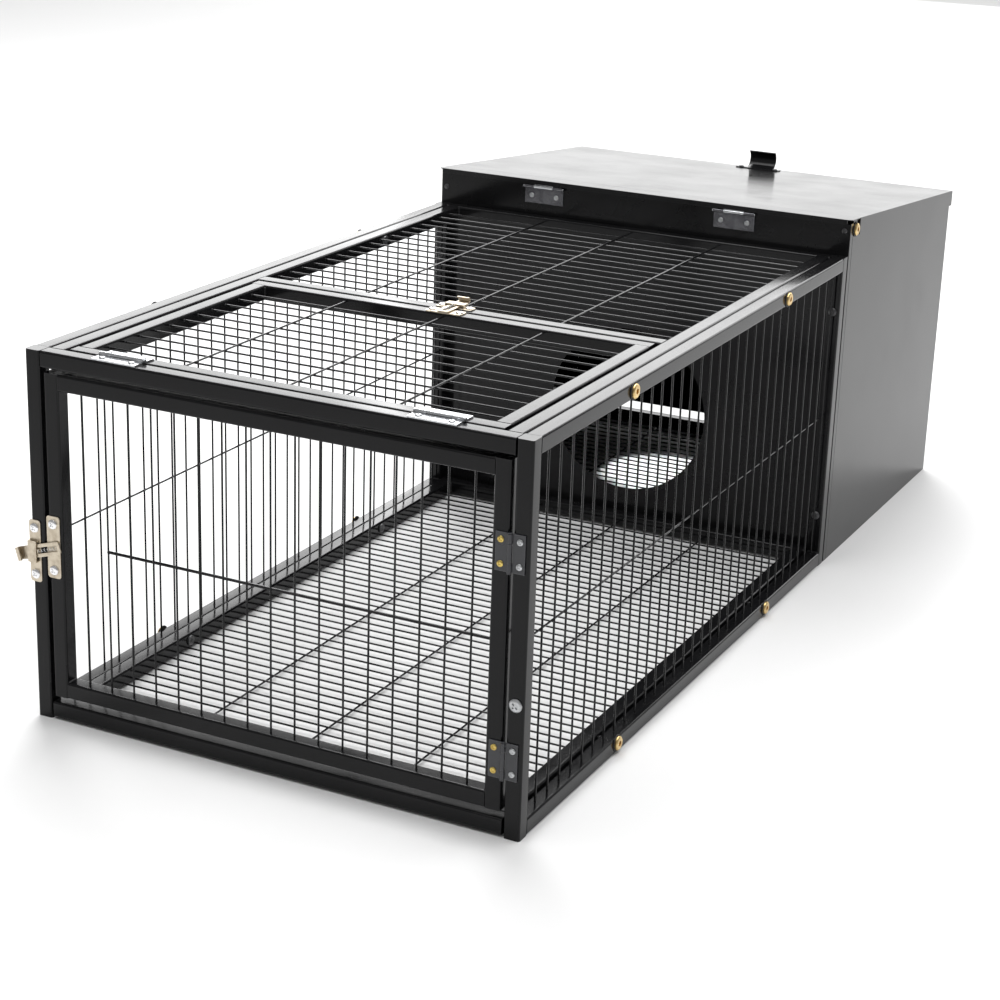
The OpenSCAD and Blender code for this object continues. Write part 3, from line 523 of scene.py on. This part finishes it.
floorSet = {"pitch": 15.4 * mm, "wireHeight": 3 * mm}


def makeRunFloor():
    lo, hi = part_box("run_floor")
    size = tubeSet["size"]
    bottom = hi.z - size
    bm = bmesh.new()
    addFlatFrame(bm, lo, hi, bottom + size / 2)
    wireZ = bottom + floorSet["wireHeight"]
    addFlatMesh(bm, hi.x - size, lo.y + size, hi.y - size, floorSet["pitch"], wireZ, -1)
    return finishPiece(bm, "run_floor_welded", "run_floor", "blackPaint")


doorSet = {
    "pitch": 25.4 * mm, "rod": 3 * mm, "rodHeight": 181 * mm,
    "rodTail": 2 * mm,  # how far the rod passes the wire that it starts at
    "nugget": 1.6 * mm,
}


def makeDoorPanel():
    lo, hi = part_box("door_panel")
    size, sink, wire = tubeSet["size"], tubeSet["sink"], wireSet["diameter"]
    half = size / 2
    reach = half * beadSet["share"]
    y = lo.y + half
    bm = bmesh.new()
    for x in (lo.x + half, hi.x - half):
        addTube(bm, (x, y, lo.z), (x, y, hi.z))
    for z in (lo.z + half, hi.z - half):
        addTube(bm, (lo.x + size - sink, y, z), (hi.x - size + sink, y, z))
    for x in (lo.x + size, hi.x - size):
        for z in (lo.z + size, hi.z - size):
            addBead(bm, (x, y - reach, z), (x, y + reach, z))
    wires = math.floor((hi.x - lo.x - 2 * size) / 2 / doorSet["pitch"])
    rodY = y + (wire + doorSet["rod"]) / 2 * wireSet["lap"]
    rodZ = doorSet["rodHeight"]
    for i in range(-wires, wires + 1):
        x = i * doorSet["pitch"]
        addWire(bm, (x, y, lo.z + size - sink), (x, y, hi.z - size + sink))
        if i > -wires:  # the rod starts at the second wire
            addNugget(bm, (x, (y + rodY) / 2, rodZ), "y", doorSet["nugget"])
        for z in (lo.z + size, hi.z - size):
            addNugget(bm, (x, y, z))
    rodStart = (1 - wires) * doorSet["pitch"] - doorSet["rodTail"]
    addWire(bm, (rodStart, rodY, rodZ), (hi.x - size + sink, rodY, rodZ), doorSet["rod"])
    return finishPiece(bm, "door_panel_welded", "door_panel", "blackPaint")


def makeHatchPanel():
    # Its wires are spaced and set down as the roof's are
    lo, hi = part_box("hatch_panel")
    size = tubeSet["size"]
    bm = bmesh.new()
    addFlatFrame(bm, lo, hi, hi.z - size / 2)
    wireZ = hi.z - roofSet["wireDrop"]
    addFlatMesh(bm, hi.x - size, lo.y + size, hi.y - size, roofSet["pitch"], wireZ, 1)
    return finishPiece(bm, "hatch_panel_welded", "hatch_panel", "blackPaint")


makeSidePanel("left_side_panel", -1)
makeSidePanel("right_side_panel", 1)
makeTopPanel()
makeRunFloor()
makeDoorPanel()
makeHatchPanel()
print("run made")


# House: welded frame, four bent wall sheets and the lid

houseSet = {"rearPost": 371.4 * mm, "wireHeight": 5 * mm}


def makeHouseFrame():
    lo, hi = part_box("house_frame")
    size, sink = tubeSet["size"], tubeSet["sink"]
    half = size / 2
    share = beadSet["share"]
    bm = bmesh.new()
    for x in (lo.x + half, hi.x - half):
        addTube(bm, (x, lo.y + half, lo.z), (x, lo.y + half, hi.z))
        addTube(bm, (x, hi.y - half, lo.z), (x, hi.y - half, lo.z + houseSet["rearPost"]))
        addTube(bm, (x, lo.y + size - sink, lo.z + half), (x, hi.y - size + sink, lo.z + half))
    for y in (lo.y + half, hi.y - half):
        addTube(bm, (lo.x + size - sink, y, lo.z + half), (hi.x - size + sink, y, lo.z + half))
    for x in (lo.x + size, hi.x - size):
        for y in (lo.y + size, hi.y - size):
            addBead(bm, (x, y, lo.z + half * (1 - share)), (x, y, lo.z + half * (1 + share)))
    wireZ = lo.z + houseSet["wireHeight"]
    addFlatMesh(bm, hi.x - size, lo.y + size, hi.y - size, floorSet["pitch"], wireZ, -1)
    return finishPiece(bm, "house_frame_welded", "house_frame", "blackPaint")


sheetSet = {
    "fold": 0.9 * mm, "foldLength": 200 * mm,  # rounding of a fold, and the least length of one
    "cutEdge": 0.25 * mm, "shortEdge": 3 * mm,  # easing of cut edges, and those too short for it
    "topAbove": 350 * mm,  # a fold along the top lies higher than this
    "near": 0.05 * mm,
}


def makeSheet(node):
    # Bent sheet: wide rounding at its folds, cut edges barely eased
    lo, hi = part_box(node)
    near = sheetSet["near"]
    bm = joinedCopy(node)

    def isFold(edge):
        a, b = (v.co for v in edge.verts)
        longEnough = (a - b).length > sheetSet["foldLength"]
        onSide = all(min(abs(v.x - lo.x), abs(v.x - hi.x)) < near for v in (a, b))
        onFront = all(abs(v.y - lo.y) < near for v in (a, b))
        onTop = all(v.z > sheetSet["topAbove"] for v in (a, b))
        return longEnough and (onSide and onFront or onSide and onTop or onFront and onTop)

    folds = [e for e in sharpEdges(bm, above=60) if isFold(e)]
    roundEdges(bm, folds, sheetSet["fold"], segments=4)
    cutEdges = [e for e in sharpEdges(bm, above=60) if e.calc_length() > sheetSet["shortEdge"]]
    roundEdges(bm, cutEdges, sheetSet["cutEdge"], segments=2)
    return finishPiece(bm, node + "_bent", node, "sheetPaint")


lidSet = {
    "frontSkirt": 5.6 * mm, "skirt": 19 * mm,
    "skirtStart": 33.2 * mm,  # from the front to where the side skirts begin
    "corner": 5 * mm, "cornerSteps": 5, "fold": 1.6 * mm, "sheet": 1 * mm,
    "near": 0.1 * mm,
}


def makeLidShell():
    lo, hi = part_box("lid_shell")
    rearTop = lo.z + lidSet["skirt"]
    drop = hi.z - rearTop
    slope = math.atan2(drop, hi.y - lo.y)
    size = (hi.x - lo.x, math.hypot(drop, hi.y - lo.y), 1, 1)
    middle = (0, (lo.y + hi.y) / 2, (hi.z + rearTop) / 2)
    place = Matrix.Translation(middle) @ Matrix.Rotation(-slope, 4, "X")
    near = lidSet["near"]
    bm = bmesh.new()
    bmesh.ops.create_grid(bm, x_segments=1, y_segments=1, size=0.5, matrix=place @ Matrix.Diagonal(size))
    skirtStart = lo.y + lidSet["skirtStart"]
    bmesh.ops.bisect_plane(bm, geom=bm.verts[:] + bm.edges[:] + bm.faces[:],
                           plane_co=(0, skirtStart, 0), plane_no=(0, 1, 0))
    corners = [v for v in bm.verts if v.co.y < lo.y + near]
    bmesh.ops.bevel(bm, geom=corners, offset=lidSet["corner"], offset_type="OFFSET",
                    segments=lidSet["cornerSteps"], profile=0.5, affect="VERTICES", material=-1)

    def bendDown(edges, depth):
        made = bmesh.ops.extrude_edge_only(bm, edges=edges)["geom"]
        lowered = [v for v in made if isinstance(v, bmesh.types.BMVert)]
        bmesh.ops.translate(bm, verts=lowered, vec=(0, 0, -depth))

    def atFront(vert):
        return vert.co.y < lo.y + near

    def atSkirt(vert):
        return abs(vert.co.x) > hi.x - near and vert.co.y > skirtStart - near

    front = [e for e in bm.edges if all(atFront(v) for v in e.verts)]
    # The line across where the skirts begin is taken too, which leaves a rib under the sheet
    skirted = [e for e in bm.edges if all(atSkirt(v) for v in e.verts)]
    bendDown(front, lidSet["frontSkirt"])
    bendDown(skirted, lidSet["skirt"])
    bmesh.ops.recalc_face_normals(bm, faces=bm.faces)
    if next(f for f in bm.faces if abs(f.normal.z) > aligned).normal.z < 0:
        bmesh.ops.reverse_faces(bm, faces=bm.faces)
    roundEdges(bm, sharpEdges(bm, above=40), lidSet["fold"], segments=4)
    bmesh.ops.solidify(bm, geom=bm.faces[:], thickness=lidSet["sheet"])
    bmesh.ops.recalc_face_normals(bm, faces=bm.faces)
    roundEdges(bm, sharpEdges(bm, above=75), sheetSet["cutEdge"], segments=2)
    return finishPiece(bm, "lid_shell_bent", "lid_shell", "sheetPaint")


makeHouseFrame()
for wall in ("house_front_wall", "house_left_wall", "house_right_wall", "house_rear_wall"):
    makeSheet(wall)
makeLidShell()
print("house made")


# Hardware: the CAD solids' own shapes with eased edges, and the springs as they are

hardware = {
    # node: (finish, edge rounding)
    "lid_handle": ("sheetPaint", 0.3 * mm), "lid_handle_rivets": ("screwBlack", 0.15 * mm),
    "connector_nuts": ("sleeveBrass", 0.3 * mm), "connector_washers": ("washerRubber", 0.2 * mm),
    "connector_bolts": ("screwBlack", 0.2 * mm), "joining_bolts": ("screwBlack", 0.2 * mm),
    "joining_nuts": ("screwBlack", 0.3 * mm), "post_screw": ("screwZinc", 0.2 * mm),
    "front_wall_screws": ("screwBlack", 0.15 * mm), "rear_wall_screws": ("screwBlack", 0.15 * mm),
    "door_hinge_leaves": ("hingeBlack", 0.25 * mm), "post_hinge_leaves": ("hingeBlack", 0.25 * mm),
    "door_hinge_pins": ("hingeBlack", 0.2 * mm), "door_leaf_screws": ("screwYellow", 0.12 * mm),
    "post_leaf_screws": ("screwZinc", 0.12 * mm), "door_strike": ("latchNickel", 0.25 * mm),
    "door_latch_base": ("latchNickel", 0.25 * mm), "door_bolt": ("latchNickel", 0.3 * mm),
    "door_strike_screws": ("screwBright", 0.2 * mm), "door_latch_screws": ("screwBright", 0.2 * mm),
    "hatch_hinge_leaves": ("hingeSilver", 0.25 * mm), "roof_hinge_leaves": ("hingeSilver", 0.25 * mm),
    "hatch_hinge_pins": ("hingeSilver", 0.2 * mm), "hatch_leaf_screws": ("screwZinc", 0.12 * mm),
    "roof_leaf_screws": ("screwZinc", 0.12 * mm), "hatch_strike": ("latchNickel", 0.25 * mm),
    "hatch_latch_base": ("latchNickel", 0.25 * mm), "hatch_bolt": ("latchNickel", 0.3 * mm),
    "hatch_strike_screws": ("screwBright", 0.2 * mm), "hatch_latch_screws": ("screwBright", 0.2 * mm),
    # The wall's hinge leaves are the lid hinge's silver with painted shade, a painted dark reflection of the
    # roof
    "lid_hinge_leaves": ("hingeSilver", 0.25 * mm), "wall_hinge_leaves": ("hingeSilverPaintedShade", 0.25 * mm),
    "lid_hinge_pins": ("hingeSilver", 0.2 * mm), "wall_leaf_screws": ("screwZinc", 0.12 * mm),
}
springs = {
    # node: (joint, way it is squashed along, fixed end, share of its length left)
    "door_bolt_spring": ("door_latch_slide", (0.956, 0, 0.292), (-0.2503, -0.61, 0.1726), 0.2),
    "hatch_bolt_spring": ("hatch_latch_slide", (0, -1, 0), (0, -0.2619, 0.37), 0.14),
}
for node, (finish, width) in hardware.items():
    bm = joinedCopy(node)
    roundEdges(bm, sharpEdges(bm, above=40), width, segments=2)
    finishPiece(bm, node + "_eased", node, finish)
for node, (joint, along, fixedEnd, keep) in springs.items():
    spring = finishPiece(joinedCopy(node), node + "_coil", node, "springSteel")
    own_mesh(spring)
print("hardware made")


# Floor, light and camera

roomSet = {
    "floorSize": 40, "floorColour": (0.70, 0.70, 0.70), "floorRoughness": 0.7,
    "cloudScale": 1.5, "cloudDetail": 2.0, "cloudRange": (0.2, 0.8), "cloudShade": 0.985,
    "world": 0.35,
}
lights = {
    # name: (place, aimed at, width, height, radiance)
    "backLow": ((-0.4, 6.0, 0.9), (0, 0, 0.3), 7.6, 1.9, 0.78),
    "backHigh": ((-0.4, 6.0, 2.5), (0, 0, 0.3), 6.4, 1.3, 2.8),
    "backLeft": ((-5.3, 6.0, 2.6), (0, 0, 0.3), 3.2, 1.6, 2.6),
    "backTop": ((-0.6, 6.0, 3.75), (0, 0, 0.3), 3.4, 0.8, 5.0),
    "backWide": ((-1.5, 7.0, 2.2), (0, 0, 0.3), 12.0, 4.2, 0.55),
    "highBack": ((-1.6, 2.2, 3.4), (0, 0.1, 0.37), 2.4, 2.2, 9.0),
    "overhead": ((0.3, -0.3, 3.4), (0, -0.3, 0), 3.2, 3.2, 4.2),
    "rightFloor": ((2.0, 1.0, 2.3), (1.2, 1.0, 0), 1.6, 2.4, 0.6),
}
houseGlow = {"place": (-0.03, 0.40, 0.34), "cone": 27, "blend": 0.2, "radius": 10 * mm, "power": 9.0}


def makeFloor():
    bm = bmesh.new()
    bmesh.ops.create_grid(bm, x_segments=1, y_segments=1, size=roomSet["floorSize"] / 2)
    mesh = bpy.data.meshes.new("floor")
    bm.to_mesh(mesh)
    bm.free()
    material, tree, shader = startMaterial("floorPaper")
    place = addNode(tree, "ShaderNodeTexCoord").outputs["Object"]
    clouds = noiseNode(tree, place, roomSet["cloudScale"], roomSet["cloudDetail"])
    tone = stretch(tree, clouds, roomSet["cloudRange"])
    colour = roomSet["floorColour"]
    darker = tuple(roomSet["cloudShade"] * c for c in colour)
    tree.links.new(mixColour(tree, tone, colour, darker), shader.inputs["Base Color"])
    shader.inputs["Roughness"].default_value = roomSet["floorRoughness"]
    mesh.materials.append(material)
    floor = bpy.data.objects.new("floor", mesh)
    bpy.context.scene.collection.objects.link(floor)


def makeLight(name, place, target, width, height, radiance):
    data = bpy.data.lights.new(name, "AREA")
    data.shape = "RECTANGLE"
    data.size, data.size_y = width, height
    data.energy = radiance * width * height * math.pi
    lamp = bpy.data.objects.new(name, data)
    lamp.location = place
    lamp.rotation_euler = (Vector(target) - Vector(place)).to_track_quat("-Z", "Y").to_euler()
    lamp.visible_camera = False
    bpy.context.scene.collection.objects.link(lamp)


def makeHouseGlow():
    # Lights the ground inside the house, as seen through the doorway
    data = bpy.data.lights.new("houseGlow", "SPOT")
    data.spot_size = math.radians(houseGlow["cone"])
    data.spot_blend = houseGlow["blend"]
    data.shadow_soft_size = houseGlow["radius"]
    data.energy = houseGlow["power"]
    lamp = bpy.data.objects.new("houseGlow", data)
    lamp.location = houseGlow["place"]
    lamp.visible_camera = False
    bpy.context.scene.collection.objects.link(lamp)


def makeWorld():
    world = bpy.data.worlds.new("studio")
    world.use_nodes = True
    shade = world.node_tree.nodes["Background"]
    shade.inputs["Color"].default_value = (1, 1, 1, 1)
    shade.inputs["Strength"].default_value = roomSet["world"]
    bpy.context.scene.world = world


cameraSet = {
    "place": (1.0048, -2.1868, 0.9233),
    "turn": 26.16, "pitch": 19.2, "roll": 1.93,  # degrees: leftwards, downwards, right side raised
    "lens": 80.39, "sensor": 36, "nearest": 0.05, "furthest": 100,
}


def makeCamera():
    turn, pitch, roll = (math.radians(cameraSet[k]) for k in ("turn", "pitch", "roll"))
    forward = Vector((-math.sin(turn) * math.cos(pitch), math.cos(turn) * math.cos(pitch), -math.sin(pitch)))
    right = Vector((math.cos(turn), math.sin(turn), 0))
    up = right.cross(forward)
    rolledRight = math.cos(roll) * right + math.sin(roll) * up
    rolledUp = math.cos(roll) * up - math.sin(roll) * right
    data = bpy.data.cameras.new("camera")
    data.lens = cameraSet["lens"]
    data.sensor_width = cameraSet["sensor"]
    data.clip_start, data.clip_end = cameraSet["nearest"], cameraSet["furthest"]
    camera = bpy.data.objects.new("camera", data)
    turned = Matrix((rolledRight, rolledUp, -forward)).transposed().to_4x4()
    camera.matrix_world = Matrix.Translation(cameraSet["place"]) @ turned
    bpy.context.scene.collection.objects.link(camera)
    bpy.context.scene.camera = camera


makeFloor()
for name, values in lights.items():
    makeLight(name, *values)
makeHouseGlow()
makeWorld()
makeCamera()
bpy.context.scene.view_settings.view_transform = "Standard"
print("floor, lights and camera made")
